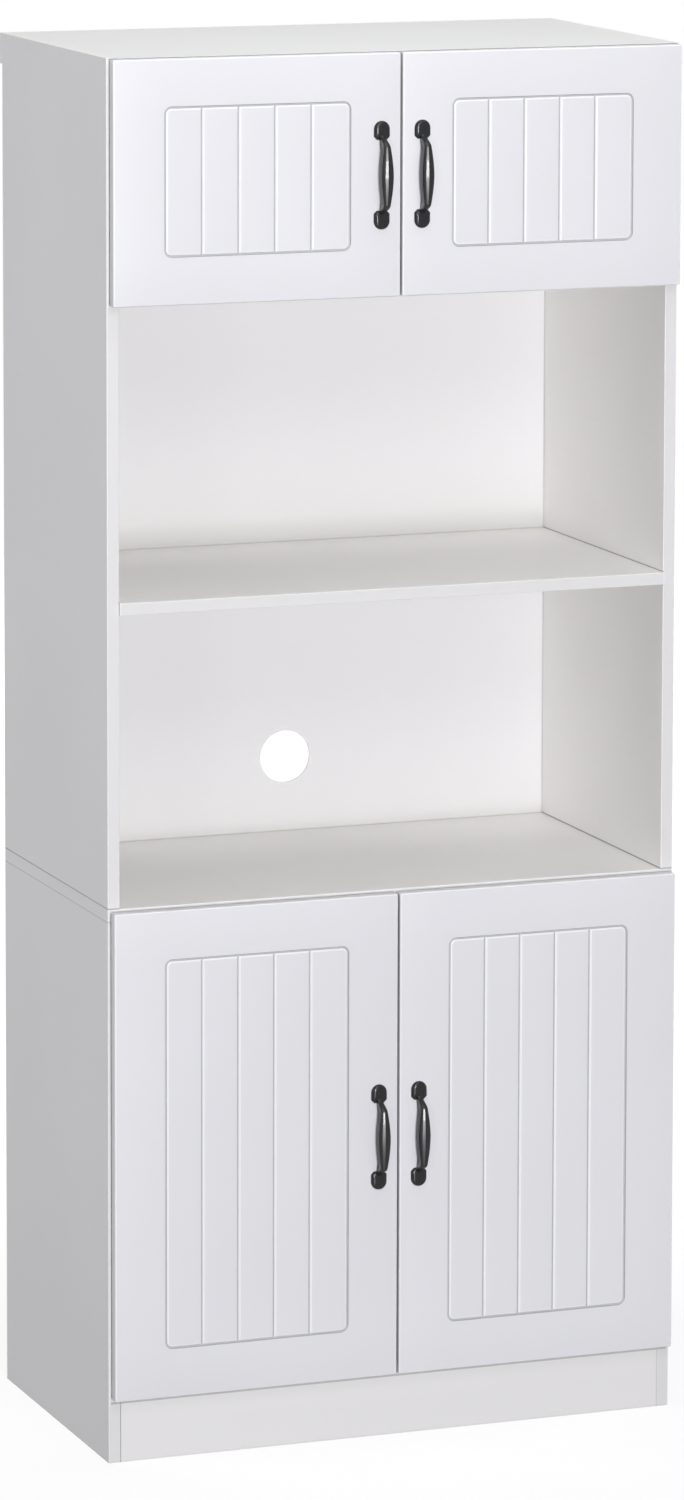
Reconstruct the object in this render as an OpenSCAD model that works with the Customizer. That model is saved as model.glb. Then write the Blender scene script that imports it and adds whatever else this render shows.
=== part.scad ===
// Tall microwave cabinet: a base unit with two doors, a counter board, and a hutch with two open
// bays and two upper doors. Millimetres. The floor is z = 0, the front looks along -Y.

/* [Cabinet] */
// Outer width
cabinet_w = 776; // [640:4:1000]
// Depth of the side boards, without doors and wall rail
cabinet_d = 426; // [400:2:600]
// Overall height
cabinet_h = 1800; // [1780:5:2000]
// Thickness of every structural board
board_t = 16; // [16:1:18]
// Radius on the front edges of the boards
edge_r = 1; // [0.5:0.25:2]
// Height of the counter surface above the floor
counter_top = 720; // [640:4:800]
// Clear height of the microwave bay
microwave_bay_h = 376; // [340:2:420]
// Clear height of the open bay above it
open_bay_h = 374; // [340:2:390]
// How far the middle shelf stands proud of the side boards
shelf_proud = 4; // [0:0.5:8]
// Height of the kick board
kick_h = 80; // [60:2:100]

/* [Back] */
// Thickness of the back panels
back_t = 3; // [2.5:0.5:5]
// Recess from the rear edges of the side boards to the back panels
back_recess = 12; // [8:1:20]
// How far the back panels reach into the side boards
back_tongue = 4.5; // [3:0.5:6]
// Diameter of the cable hole
cable_hole_d = 70; // [50:5:90]
// Height of the cable hole's centre above the counter
cable_hole_up = 101; // [70:1:200]
// Height of the wall rail
rail_h = 40; // [36:2:60]
// Thickness of the wall rail
rail_t = 10; // [8:1:18]
// Distance between the two wall screws
wall_screw_pitch = 600; // [400:20:600]
// Diameter of the holes for the wall screws
wall_hole_d = 5.5; // [4.5:0.5:8]

/* [Doors] */
// Thickness of the doors
door_t = 16; // [16:1:19]
// Gap between the closed doors and the boards behind them
door_gap = 2.5; // [2.5:0.25:3]
// Strip of board left uncovered beside and above the doors
reveal = 3; // [2.5:0.25:3.5]
// Strip left uncovered above the upper doors
top_reveal = 1; // [1:0.5:3]
// Gap between the two doors of a pair
centre_gap = 3; // [2:0.5:4]
// Radius on all edges of the doors
door_edge_r = 2; // [2:0.25:3]
// Distance from the upright edges of a door to the routed frame
frame_margin_x = 69; // [60:1:80]
// Distance from the level edges of an upper door to the routed frame
upper_margin_z = 62; // [50:1:75]
// Distance from the level edges of a lower door to the routed frame
lower_margin_z = 65; // [50:1:75]
// Corner radius of the routed frame
frame_r = 8; // [6:1:12]
// Width of the routed grooves
groove_w = 4; // [2:0.5:5]
// Depth of the routed grooves
groove_d = 1.5; // [0.5:0.25:2.5]
// Width of a plank between two grooves, the last plank takes what is left
plank_w = 48.7; // [40:0.1:50]

/* [Handles] */
// Length of a handle
handle_l = 138; // [134:1:160]
// How far a handle stands off the door
handle_reach = 27; // [24:1:34]
// Width of the handle's feet
foot_w = 21; // [18:1:24]
// Length of the handle's feet
foot_l = 24; // [22:1:28]
// Width of the bow at its middle
bow_w = 16; // [12:1:20]
// Width of the bow where it leaves the feet
neck_w = 7; // [6:0.5:9]
// Thickness of the bow at its middle
bow_t = 5.5; // [4:0.5:7]
// Distance between the two handle screws
handle_pitch = 96; // [96:1:104]
// Distance from the door's free edge to the handle's middle line
handle_in = 26; // [22:1:40]

/* [Hinges] */
// Distance from a side board's outer face to the hinge axis
axis_in = 10.5; // [10:0.25:10.5]
// Distance from the front of the side boards to the hinge axis
axis_out = 12; // [12:0.25:12.5]
// Distance from the ends of an upper door to its hinges
upper_hinge_in = 80; // [70:5:100]
// Distance from the ends of a lower door to its hinges
lower_hinge_in = 100; // [80:5:140]
// Distance from the door's edge to the hinge cup
cup_edge = 4; // [4:0.25:5]
// Diameter of the hinge pins
pin_d = 2; // [1.5:0.25:2]
// Radial running clearance of the hinge pins
pin_play = 0.05; // [0.02:0.01:0.1]

/* [Hidden] */
$fn = 48;

// Colours
board_white = [0.9, 0.9, 0.91];
handle_black = [0.05, 0.05, 0.06];
nickel = [0.7, 0.7, 0.68];
zinc = [0.62, 0.63, 0.65];
beech = [0.8, 0.66, 0.45];
clear_pad = [0.85, 0.87, 0.88];

// Heights and places in the carcass
inner_x = cabinet_w / 2 - board_t;
base_side_h = counter_top - board_t;
shelf_z = counter_top + microwave_bay_h;
shelf_top = shelf_z + board_t;
upper_floor_z = shelf_top + open_bay_h;
top_board_z = cabinet_h - board_t;
back_y = cabinet_d - back_recess - back_t;
rail_z = cabinet_h - rail_h;
rail_y = cabinet_d + rail_t;
side_mid_x = cabinet_w / 2 - board_t / 2;
base_bay_h = 296;
base_shelf_z = kick_h + board_t + base_bay_h;
base_shelf_front = 25;
base_shelf_rear_play = 6;
base_shelf_end_play = 1;
panel_play = 0.1;
tongue_play = 0.5;
rail_hole_extra = 4;

// How far cuts run past the faces they open
cut = 1;

// The part's origin is under the middle of its outline, handles and wall rail included
front_y = -door_gap - door_t - handle_reach;
frame_y = -(front_y + rail_y) / 2;

// Doors, each drawn in its own frame: hinged edge x = 0, front face y = 0, lower edge z = 0
door_w = cabinet_w / 2 - reveal - centre_gap / 2;
kick_strip = 4;
upper_door_z = upper_floor_z + reveal;
upper_door_h = cabinet_h - top_reveal - upper_door_z;
lower_door_z = kick_h + kick_strip;
lower_door_h = counter_top - reveal - lower_door_z;
planks = floor((door_w - 2 * frame_margin_x) / plank_w);

// Knock-down fittings
cam_d = 15;
cam_h = 12;
cam_pocket_h = 12.5;
cam_setback = 34;
cam_head_d = 7;
cam_head_l = 3;
cam_shank_d = 5;
cam_hole_d = 8;
cam_thread_l = 11;
cam_play = 0.1;
cam_slot_w = 7.6;
driver_l = 8;
driver_w = 1.2;
driver_depth = 2;
dowel_d = 8;
dowel_in_side = 10;
dowel_in_board = 20;
front_fixing_y = 60;
rear_fixing_y = 366;
front_dowel_y = 110;
rear_dowel_y = 316;
base_dowel_shift = 40;
shelf_pin_d = 5;
shelf_pin_z = base_shelf_z - shelf_pin_d / 2;
shelf_pin_in = 10;
shelf_pin_out = 8;
shelf_pin_ys = [60, 340];
shelf_hole_step = 32;

// Screws: [thread diameter, length under the seat, head diameter, head height, countersunk]
back_screw = [3.5, 16, 7, 2, true];
rail_screw = [4, 35, 8, 2.5, true];
plate_screw = [3.5, 18, 6, 1, false];
hinge_plate_screw = [4, 13, 7.5, 1.6, false];
arm_screw = [5, 6, 8, 2, false];
cup_screw = [3.5, 12, 7, 1, true];
handle_thread_l = 5;
handle_screw = [4, door_t + handle_thread_l, 8, 2.2, false];

// Joining plates between base and hutch
joining_l = 96;
joining_w = 14;
joining_t = 1.5;
joining_screw_up = 36;

// Hinges, drawn in a frame whose z axis is the hinge axis, x to the free edge, y to the back
cup_d = 35;
cup_wall = 0.7;
cup_depth = 12.2;
cup_bore_depth = 12.5;
cup_x = reveal + cup_edge + cup_d / 2 - axis_in;
door_back_y = axis_out - door_gap;
wing_t = 1.2;
wing_h = 62;
wing_back = 1.5;
wing_x = cup_x - wing_back;
wing_w = 15;
cup_screw_x = cup_x + 6;
cup_screw_up = 24;
lug_in = 5;
lug_out = 7.4;
lug_r = 2.4;
pin_fit = 0.02;
tongue_h = 9;
tongue_y = -1.5;
tongue_t = 1.3;
knuckle_r = 1.75;
arm_x = 14.1;
arm_t = 1.5;
arm_front = 4;
arm_rear = 62;
arm_h = 14.4;
arm_flange_t = 1.2;
arm_flange_x = 9;
plate_x = board_t - axis_in;
plate_t = 2;
plate_front = 22;
plate_h = 50;
plate_wing_front = 28;
plate_wing_w = 18;
plate_block_h = 11.6;
plate_screw_y = 37;
plate_screw_up = 16;
arm_screw_y = 54;

bumper_d = 8;
bumper_t = 2;
bumper_in = 12;
bumper_up = 8;

// ---- placing ----

// Moves the cabinet's own coordinates (front of the side boards at y = 0) into the part's frame
module in_frame() {
    translate([0, frame_y, 0]) children();
}

module both_sides() {
    children();
    mirror([1, 0, 0]) children();
}

// Puts a left-hand door's pieces in place, or mirrors them for the right-hand door
module at_door(z, right) {
    in_frame() mirror([right ? 1 : 0, 0, 0])
        translate([-cabinet_w / 2 + reveal, -door_gap - door_t, z]) children();
}

// Puts a piece of a hinge on the hinge axis at the height z
module at_hinge(z, right) {
    in_frame() mirror([right ? 1 : 0, 0, 0])
        translate([-cabinet_w / 2 + axis_in, -axis_out, z]) children();
}

function hinge_heights(z, h, inset) = [z + inset, z + h - inset];
upper_hinges = hinge_heights(upper_door_z, upper_door_h, upper_hinge_in);
lower_hinges = hinge_heights(lower_door_z, lower_door_h, lower_hinge_in);
all_hinges = concat(upper_hinges, lower_hinges);

// ---- fasteners ----

// A screw along -Z: the head rests on z = 0, or ends flush with it where it is countersunk
module screw(s) {
    if (s[4]) {
        translate([0, 0, -s[3]]) cylinder(h = s[3], d1 = s[0], d2 = s[2]);
        translate([0, 0, -s[1]]) cylinder(h = s[1], d = s[0]);
    } else {
        cylinder(h = s[3], d = s[2]);
        translate([0, 0, -s[1]]) cylinder(h = s[1] + s[3] / 2, d = s[0]);
    }
}

// A cam bolt along +X: threaded into the side board for x < 0, its head in the cam
module cam_bolt() {
    rotate([0, 90, 0]) {
        translate([0, 0, -cam_thread_l]) cylinder(h = cam_thread_l + cam_setback, d = cam_shank_d);
        translate([0, 0, cam_setback - cam_head_l / 2]) cylinder(h = cam_head_l, d = cam_head_d);
    }
}

// The cam that grips the bolt's head, turned from the face at z = -board_t / 2
module cam_lock() {
    translate([cam_setback, 0, -board_t / 2]) difference() {
        cylinder(h = cam_h, d = cam_d - 2 * cam_play);
        translate([-cam_d, -cam_slot_w / 2, board_t / 2 - cam_slot_w / 2])
            cube([cam_d + cam_slot_w / 2, cam_slot_w, cam_h]);
        for (turn = [0, 90]) rotate([0, 0, turn]) translate([-driver_l / 2, -driver_w / 2, -cut])
            cube([driver_l, driver_w, driver_depth + cut]);
    }
}

module cam_cut() {
    translate([cam_setback, 0, -board_t / 2 - cut]) cylinder(h = cam_pocket_h + cut, d = cam_d);
    rotate([0, 90, 0]) cylinder(h = cam_setback, d = cam_hole_d);
    translate([-cam_thread_l, 0, 0]) rotate([0, 90, 0])
        cylinder(h = cam_thread_l + cut, d = cam_shank_d);
}

module dowel() {
    translate([-dowel_in_side, 0, 0]) rotate([0, 90, 0])
        cylinder(h = dowel_in_side + dowel_in_board, d = dowel_d);
}

// Joints at the left side board: [place on the joint face, turn]. Unturned, the bolt runs along +X
// and the cam is turned from below.
CAM_BELOW = [0, 0, 0];
CAM_ABOVE = [180, 0, 0];
CAM_BEHIND = [90, 0, 0];
CAM_INSIDE = [180, 90, 0];
DOWN = [0, 90, 0];
UP = [0, -90, 0];
cam_joints = concat(
    [for (y = [front_fixing_y, rear_fixing_y]) each [
        [[-inner_x, y, kick_h + board_t / 2], CAM_BELOW],
        [[-inner_x, y, shelf_z + board_t / 2], CAM_BELOW],
        [[-inner_x, y, upper_floor_z + board_t / 2], CAM_ABOVE],
        [[-inner_x, y, top_board_z + board_t / 2], CAM_BELOW],
        [[-side_mid_x, y, base_side_h], CAM_INSIDE]
    ]],
    [[[-inner_x, board_t / 2, kick_h / 2], CAM_BEHIND]]
);
dowel_joints = [for (y = [front_dowel_y, rear_dowel_y]) each [
    [[-inner_x, y, kick_h + board_t / 2], CAM_BELOW],
    [[-inner_x, y, shelf_z + board_t / 2], CAM_BELOW],
    [[-inner_x, y, upper_floor_z + board_t / 2], CAM_BELOW],
    [[-inner_x, y, top_board_z + board_t / 2], CAM_BELOW],
    [[-side_mid_x, y + (y < cabinet_d / 2 ? 1 : -1) * base_dowel_shift, base_side_h], DOWN],
    [[-side_mid_x, y, counter_top], UP]
]];

module at_joint(joint) {
    translate(joint[0]) rotate(joint[1]) children();
}

// Drills a board that lies between the heights low and high for the fittings that reach it
module drilled(low, high) {
    difference() {
        children();
        both_sides() {
            for (joint = cam_joints)
                if (joint[0].z >= low && joint[0].z <= high) at_joint(joint) cam_cut();
            for (joint = dowel_joints)
                if (joint[0].z >= low && joint[0].z <= high) at_joint(joint) dowel();
        }
    }
}

// Screws driven forwards from behind: [x, rear face y, z, screw]
back_screw_step = inner_x * 0.6;
back_screw_xs = [for (i = [-1.5:1:1.5]) i * back_screw_step];
back_screw_zs = [kick_h + board_t / 2, shelf_z + board_t / 2, upper_floor_z + board_t / 2];
joining_screw_zs = [
    base_side_h + board_t / 2 - joining_screw_up, base_side_h + board_t / 2 + joining_screw_up
];
rail_screws_at = [[side_mid_x, rail_z + rail_h / 3], [inner_x / 2, cabinet_h - board_t / 2]];

module driven_from_behind(x, y, z, s) {
    translate([x, y, z]) rotate([-90, 0, 0]) screw(s);
}

module all_back_screws() {
    for (x = back_screw_xs, z = back_screw_zs) driven_from_behind(x, back_y + back_t, z, back_screw);
}

module all_joining_screws() {
    both_sides() for (z = joining_screw_zs)
        driven_from_behind(side_mid_x, cabinet_d + joining_t, z, plate_screw);
}

module all_rail_screws() {
    both_sides() for (at = rail_screws_at) driven_from_behind(at[0], rail_y, at[1], rail_screw);
}

// Screws of the mounting plates, driven into the left side board
module hinge_plate_screws_left() {
    for (z = all_hinges, up = [-plate_screw_up, plate_screw_up])
        translate([-inner_x + plate_t, plate_screw_y, z + up]) rotate([0, 90, 0])
            screw(hinge_plate_screw);
}

// ---- boards ----

// Section of a board with its front edge rounded: depth along x from the front, thickness along y
module board_section(depth) {
    translate([edge_r, 0]) square([depth - edge_r, board_t]);
    translate([0, edge_r]) square([edge_r + 1, board_t - 2 * edge_r]);
    for (y = [edge_r, board_t - edge_r]) translate([edge_r, y]) circle(r = edge_r);
}

// An upright board at the left end, from z up
module side_board(z, height) {
    translate([-inner_x, 0, z]) linear_extrude(height = height) rotate(90) board_section(cabinet_d);
}

// A level board of the given length, its underside at z, its front edge at y
module level_board(length, y, depth, z) {
    translate([-length / 2, y, z]) rotate([90, 0, 90]) linear_extrude(height = length)
        board_section(depth);
}

// Grooves for a back panel between two heights
module back_grooves(low, high) {
    both_sides() translate([-inner_x - back_tongue - tongue_play, back_y - panel_play, low])
        cube([back_tongue + tongue_play + cut, back_t + 2 * panel_play, high - low]);
}

module back_panel(low, high) {
    translate([-inner_x - back_tongue, back_y, low])
        cube([2 * (inner_x + back_tongue), back_t, high - low]);
}

module base_side() {
    drilled(0, base_side_h) difference() {
        side_board(0, base_side_h);
        back_grooves(kick_h, base_side_h + cut);
        all_joining_screws();
        hinge_plate_screws_left();
        for (y = shelf_pin_ys, step = [-2:2])
            translate([-inner_x - shelf_pin_in, y, shelf_pin_z + step * shelf_hole_step])
                rotate([0, 90, 0]) cylinder(h = shelf_pin_in + cut, d = shelf_pin_d);
    }
}

module hutch_side() {
    drilled(counter_top, cabinet_h) difference() {
        side_board(counter_top, cabinet_h - counter_top);
        back_grooves(counter_top - cut, top_board_z);
        all_joining_screws();
        all_rail_screws();
        hinge_plate_screws_left();
    }
}

module base_side_left() {
    color(board_white) in_frame() base_side();
}

module base_side_right() {
    color(board_white) in_frame() mirror([1, 0, 0]) base_side();
}

module hutch_side_left() {
    color(board_white) in_frame() hutch_side();
}

module hutch_side_right() {
    color(board_white) in_frame() mirror([1, 0, 0]) hutch_side();
}

module base_floor() {
    color(board_white) in_frame() drilled(kick_h, kick_h + board_t) difference() {
        level_board(2 * inner_x, 0, back_y, kick_h);
        all_back_screws();
    }
}

module kick_board() {
    color(board_white) in_frame() drilled(0, kick_h - 1)
        translate([-inner_x, 0, 0]) cube([2 * inner_x, board_t, kick_h]);
}

module counter_board() {
    color(board_white) in_frame() drilled(base_side_h, counter_top)
        level_board(cabinet_w, 0, cabinet_d, base_side_h);
}

module base_back_panel() {
    color(board_white) in_frame() difference() {
        back_panel(kick_h, base_side_h);
        all_back_screws();
    }
}

// Loose shelf behind the lower doors, resting on its pins
module base_shelf() {
    color(board_white) in_frame()
        level_board(2 * (inner_x - base_shelf_end_play), base_shelf_front,
            back_y - base_shelf_rear_play - base_shelf_front, base_shelf_z);
}

module shelf_pins() {
    color(nickel) in_frame() both_sides() for (y = shelf_pin_ys)
        translate([-inner_x - shelf_pin_in, y, shelf_pin_z]) rotate([0, 90, 0])
            cylinder(h = shelf_pin_in + shelf_pin_out, d = shelf_pin_d);
}

module mid_shelf() {
    color(board_white) in_frame() drilled(shelf_z, shelf_top) difference() {
        level_board(2 * inner_x, -shelf_proud, back_y + shelf_proud, shelf_z);
        all_back_screws();
    }
}

module upper_floor() {
    color(board_white) in_frame() drilled(upper_floor_z, upper_floor_z + board_t) difference() {
        level_board(2 * inner_x, 0, back_y, upper_floor_z);
        all_back_screws();
    }
}

module top_board() {
    color(board_white) in_frame() drilled(top_board_z, cabinet_h) difference() {
        level_board(2 * inner_x, 0, cabinet_d, top_board_z);
        all_rail_screws();
    }
}

wall_hole_z = rail_z + rail_h / 4;

// Holes along Y at the two wall screws
module wall_holes(d) {
    both_sides() translate([wall_screw_pitch / 2, back_y - cut, wall_hole_z]) rotate([-90, 0, 0])
        cylinder(h = rail_y, d = d);
}

module hutch_back_panel() {
    color(board_white) in_frame() difference() {
        back_panel(counter_top, top_board_z);
        all_back_screws();
        wall_holes(wall_hole_d + rail_hole_extra);
        translate([0, back_y - cut, counter_top + cable_hole_up]) rotate([-90, 0, 0])
            cylinder(h = back_t + 2 * cut, d = cable_hole_d, $fn = 96);
    }
}

module wall_rail() {
    color(board_white) in_frame() difference() {
        translate([-cabinet_w / 2, cabinet_d, rail_z]) cube([cabinet_w, rail_t, rail_h]);
        wall_holes(wall_hole_d);
        all_rail_screws();
    }
}

module wall_rail_screws() {
    color(zinc) in_frame() all_rail_screws();
}

module joining_plates() {
    color(zinc) in_frame() difference() {
        both_sides() translate([
            side_mid_x - joining_w / 2, cabinet_d, base_side_h + board_t / 2 - joining_l / 2
        ]) cube([joining_w, joining_t, joining_l]);
        all_joining_screws();
    }
}

module joining_plate_screws() {
    color(zinc) in_frame() all_joining_screws();
}

module back_panel_screws() {
    color(zinc) in_frame() all_back_screws();
}

module cam_bolts() {
    color(zinc) in_frame() both_sides() for (joint = cam_joints) at_joint(joint) cam_bolt();
}

module cam_locks() {
    color(zinc) in_frame() both_sides() for (joint = cam_joints) at_joint(joint) cam_lock();
}

module wood_dowels() {
    color(beech) in_frame() both_sides() for (joint = dowel_joints) at_joint(joint) dowel();
}

// ---- hinges ----

module at_all_hinges() {
    for (right = [false, true], z = all_hinges) at_hinge(z, right) children();
}

// Mounting plate: a wing screwed to the side board and a block that carries the arm
module hinge_plate() {
    difference() {
        union() {
            translate([plate_x, axis_out + plate_wing_front, -plate_h / 2])
                cube([plate_t, plate_wing_w, plate_h]);
            translate([plate_x, axis_out + plate_front, -plate_block_h / 2])
                cube([arm_x - plate_x, arm_rear - plate_front, plate_block_h]);
        }
        for (up = [-plate_screw_up, plate_screw_up])
            translate([plate_x - cut, axis_out + plate_screw_y, up]) rotate([0, 90, 0])
                cylinder(h = plate_t + 2 * cut, d = hinge_plate_screw[0]);
        translate([arm_x - arm_screw[1], axis_out + arm_screw_y, 0]) rotate([0, 90, 0])
            cylinder(h = arm_screw[1] + cut, d = arm_screw[0]);
    }
}

// Arm: a channel over the plate, a tongue round the board's front edge, a knuckle on the pin
module hinge_arm() {
    difference() {
        union() {
            translate([arm_x, axis_out + arm_front, -arm_h / 2])
                cube([arm_t, arm_rear - arm_front, arm_h]);
            for (z = [-arm_h / 2, arm_h / 2 - arm_flange_t])
                translate([arm_flange_x, axis_out + arm_front, z])
                    cube([arm_x + arm_t - arm_flange_x, arm_rear - arm_front, arm_flange_t]);
            translate([arm_x, tongue_y, -tongue_h / 2])
                cube([arm_t, axis_out + 2 * arm_front - tongue_y, tongue_h]);
            translate([0, tongue_y, -tongue_h / 2]) cube([arm_x + arm_t, tongue_t, tongue_h]);
            translate([0, 0, -tongue_h / 2]) cylinder(h = tongue_h, r = knuckle_r);
        }
        translate([0, 0, -tongue_h]) cylinder(h = 2 * tongue_h, d = pin_d + 2 * pin_play);
        translate([arm_x - cut, axis_out + arm_screw_y, 0]) rotate([0, 90, 0])
            cylinder(h = arm_t + 2 * cut, d = arm_screw[0]);
    }
}

// Cup let into the door's back: drawn shell, two wings for the screws and two lugs for the pin
module hinge_cup() {
    difference() {
        union() {
            translate([cup_x, door_back_y, 0]) rotate([90, 0, 0]) difference() {
                cylinder(h = cup_depth, d = cup_d);
                translate([0, 0, -cut])
                    cylinder(h = cup_depth - cup_wall + cut, d = cup_d - 2 * cup_wall);
            }
            difference() {
                translate([wing_x, door_back_y, -wing_h / 2]) cube([wing_w, wing_t, wing_h]);
                translate([cup_x, door_back_y + 2 * wing_t, 0]) rotate([90, 0, 0])
                    cylinder(h = 3 * wing_t, d = cup_d - 2 * cup_wall);
            }
            intersection() {
                translate([cup_x, door_back_y, 0]) rotate([90, 0, 0])
                    cylinder(h = cup_depth, d = cup_d);
                for (z = [-lug_out, lug_in])
                    translate([-2 * lug_r, door_back_y - cup_depth, z])
                        cube([3 * lug_r, cup_depth - door_back_y + lug_r, lug_out - lug_in]);
            }
        }
        translate([0, 0, -lug_out - cut]) cylinder(h = 2 * (lug_out + cut), d = pin_d + 2 * pin_fit);
        for (up = [-cup_screw_up, cup_screw_up])
            translate([cup_screw_x, door_back_y + wing_t, up]) rotate([-90, 0, 0]) screw(cup_screw);
    }
}

module hinge_plates() {
    color(nickel) at_all_hinges() hinge_plate();
}

module hinge_plate_screws() {
    color(zinc) in_frame() both_sides() hinge_plate_screws_left();
}

module hinge_arms() {
    color(nickel) at_all_hinges() hinge_arm();
}

module hinge_arm_screws() {
    color(zinc) at_all_hinges()
        translate([arm_x + arm_t, axis_out + arm_screw_y, 0]) rotate([0, 90, 0]) screw(arm_screw);
}

module hinge_cups(heights, right) {
    color(nickel) for (z = heights) at_hinge(z, right) hinge_cup();
}

module hinge_pins(heights, right) {
    color(zinc) for (z = heights) at_hinge(z, right)
        translate([0, 0, -lug_out]) cylinder(h = 2 * lug_out, d = pin_d);
}

module cup_screws(heights, right) {
    color(zinc) for (z = heights, up = [-cup_screw_up, cup_screw_up]) at_hinge(z, right)
        translate([cup_screw_x, door_back_y + wing_t, up]) rotate([-90, 0, 0]) screw(cup_screw);
}

// ---- doors ----

module rounded_rect(w, h, r) {
    translate([r, 0]) square([w - 2 * r, h]);
    translate([0, r]) square([w, h - 2 * r]);
    for (x = [r, w - r], y = [r, h - r]) translate([x, y]) circle(r = r);
}

// A board with every edge rounded: three extrusions, each rounding the edges along one axis
module rounded_board(w, t, h, r) {
    intersection() {
        linear_extrude(height = h) rounded_rect(w, t, r);
        translate([0, t, 0]) rotate([90, 0, 0]) linear_extrude(height = t) rounded_rect(w, h, r);
        rotate([90, 0, 90]) linear_extrude(height = w) rounded_rect(t, h, r);
    }
}

// Routed frame and plank grooves in the front face
module routing(h, margin_z, right) {
    field_w = door_w - 2 * frame_margin_x;
    field_h = h - 2 * margin_z;
    translate([frame_margin_x, groove_d, margin_z]) rotate([90, 0, 0])
        linear_extrude(height = groove_d + cut) {
            difference() {
                translate([-groove_w / 2, -groove_w / 2])
                    rounded_rect(field_w + groove_w, field_h + groove_w, frame_r + groove_w / 2);
                translate([groove_w / 2, groove_w / 2])
                    rounded_rect(field_w - groove_w, field_h - groove_w, frame_r - groove_w / 2);
            }
            for (i = [1:planks - 1]) {
                x = right ? field_w - i * plank_w : i * plank_w;
                translate([x - groove_w / 2, 0]) square([groove_w, field_h]);
            }
        }
}

handle_x = door_w - handle_in;

// Handle screws through a door of height h, driven from its back
module door_handle_screws(h) {
    for (up = [-handle_pitch / 2, handle_pitch / 2])
        translate([handle_x, door_t, h / 2 + up]) rotate([-90, 0, 0]) screw(handle_screw);
}

module door(z, h, margin_z, heights, right) {
    color(board_white) difference() {
        at_door(z, right) difference() {
            rounded_board(door_w, door_t, h, door_edge_r);
            routing(h, margin_z, right);
            door_handle_screws(h);
        }
        for (hinge_z = heights) at_hinge(hinge_z, right) {
            translate([cup_x, door_back_y + cut, 0]) rotate([90, 0, 0])
                cylinder(h = cup_bore_depth + cut, d = cup_d);
            for (up = [-cup_screw_up, cup_screw_up])
                translate([cup_screw_x, door_back_y + wing_t, up]) rotate([-90, 0, 0])
                    screw(cup_screw);
        }
    }
}

// ---- handles ----

// Height of the handle's outer and inner lines over the door at the distance s from its middle.
// The foot is a low dome, the neck a half cosine wave, and the bow a flat arc.
foot_top = 5;
bow_end = handle_l / 2 - foot_l;
neck_l = 16;
bow_arc = 5;
leaf_power = 1.2;
function ramp(s, from, to) =
    s <= from ? 0 : s >= to ? 1 : (1 - cos(180 * (s - from) / (to - from))) / 2;
function arc_drop(s) = bow_arc * pow(s / bow_end, 2);
function foot_dome(s) =
    let (u = max(0, (s - (handle_l / 2 - foot_w / 2)) / (foot_w / 2)))
    foot_top * sqrt(max(0, 1 - min(1, u * u)));
function outer_line(s) =
    let (k = ramp(s, bow_end - neck_l / 2, bow_end + neck_l / 2))
    (1 - k) * (handle_reach - arc_drop(s)) + k * foot_dome(s);
function inner_line(s) =
    let (k = ramp(s, bow_end - neck_l, bow_end))
    (1 - k) * (handle_reach - bow_t - arc_drop(s));
function leaf(s) = pow(cos(90 * min(1, s / bow_end)), leaf_power);
function bow_half_w(s) = (neck_w + (bow_w - neck_w) * leaf(s)) / 2;

// Places along the handle at which its lines are drawn
steps = 48;
stations = [for (i = [-steps:steps]) i / steps * handle_l / 2];
inner_stations = [for (s = stations) if (abs(s) < bow_end) s];

// Side view: distance from the door along x, handle's length along y
module handle_side_view() {
    difference() {
        polygon(concat([[0, -handle_l / 2]], [for (s = stations) [outer_line(abs(s)), s]],
            [[0, handle_l / 2]]));
        polygon(concat([[-cut, -bow_end]], [for (s = inner_stations) [inner_line(abs(s)), s]],
            [[-cut, bow_end]]));
    }
}

// Front view: tombstone feet and a leaf-shaped bow
module handle_front_view() {
    for (end = [-1, 1]) {
        translate([0, end * (handle_l - foot_w) / 2]) circle(d = foot_w);
        translate([-foot_w / 2, end > 0 ? bow_end : -bow_end - foot_l + foot_w / 2])
            square([foot_w, foot_l - foot_w / 2]);
    }
    polygon(concat([for (s = stations) [bow_half_w(abs(s)), s]],
        [for (i = [len(stations) - 1:-1:0]) [-bow_half_w(abs(stations[i])), stations[i]]]));
}

module door_handle(z, h, right) {
    color(handle_black) at_door(z, right) difference() {
        translate([handle_x, 0, h / 2]) intersection() {
            rotate([90, 0, -90]) translate([0, 0, -foot_w]) linear_extrude(height = 2 * foot_w)
                handle_side_view();
            rotate([90, 0, 0]) linear_extrude(height = handle_reach + cut) handle_front_view();
        }
        door_handle_screws(h);
    }
}

module handle_screws(z, h, right) {
    color(zinc) at_door(z, right) door_handle_screws(h);
}

// Soft pads at the free corners, between the door and the level boards
module bumpers(z, h, right) {
    color(clear_pad) at_door(z, right) for (up = [bumper_up, h - bumper_up])
        translate([door_w - bumper_in, door_t, up]) rotate([-90, 0, 0])
            cylinder(h = bumper_t, d = bumper_d);
}

// ---- the four doors ----

module upper_left_door() { door(upper_door_z, upper_door_h, upper_margin_z, upper_hinges, false); }
module upper_left_handle() { door_handle(upper_door_z, upper_door_h, false); }
module upper_left_handle_screws() { handle_screws(upper_door_z, upper_door_h, false); }
module upper_left_hinge_cups() { hinge_cups(upper_hinges, false); }
module upper_left_hinge_pins() { hinge_pins(upper_hinges, false); }
module upper_left_cup_screws() { cup_screws(upper_hinges, false); }
module upper_left_bumpers() { bumpers(upper_door_z, upper_door_h, false); }

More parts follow.
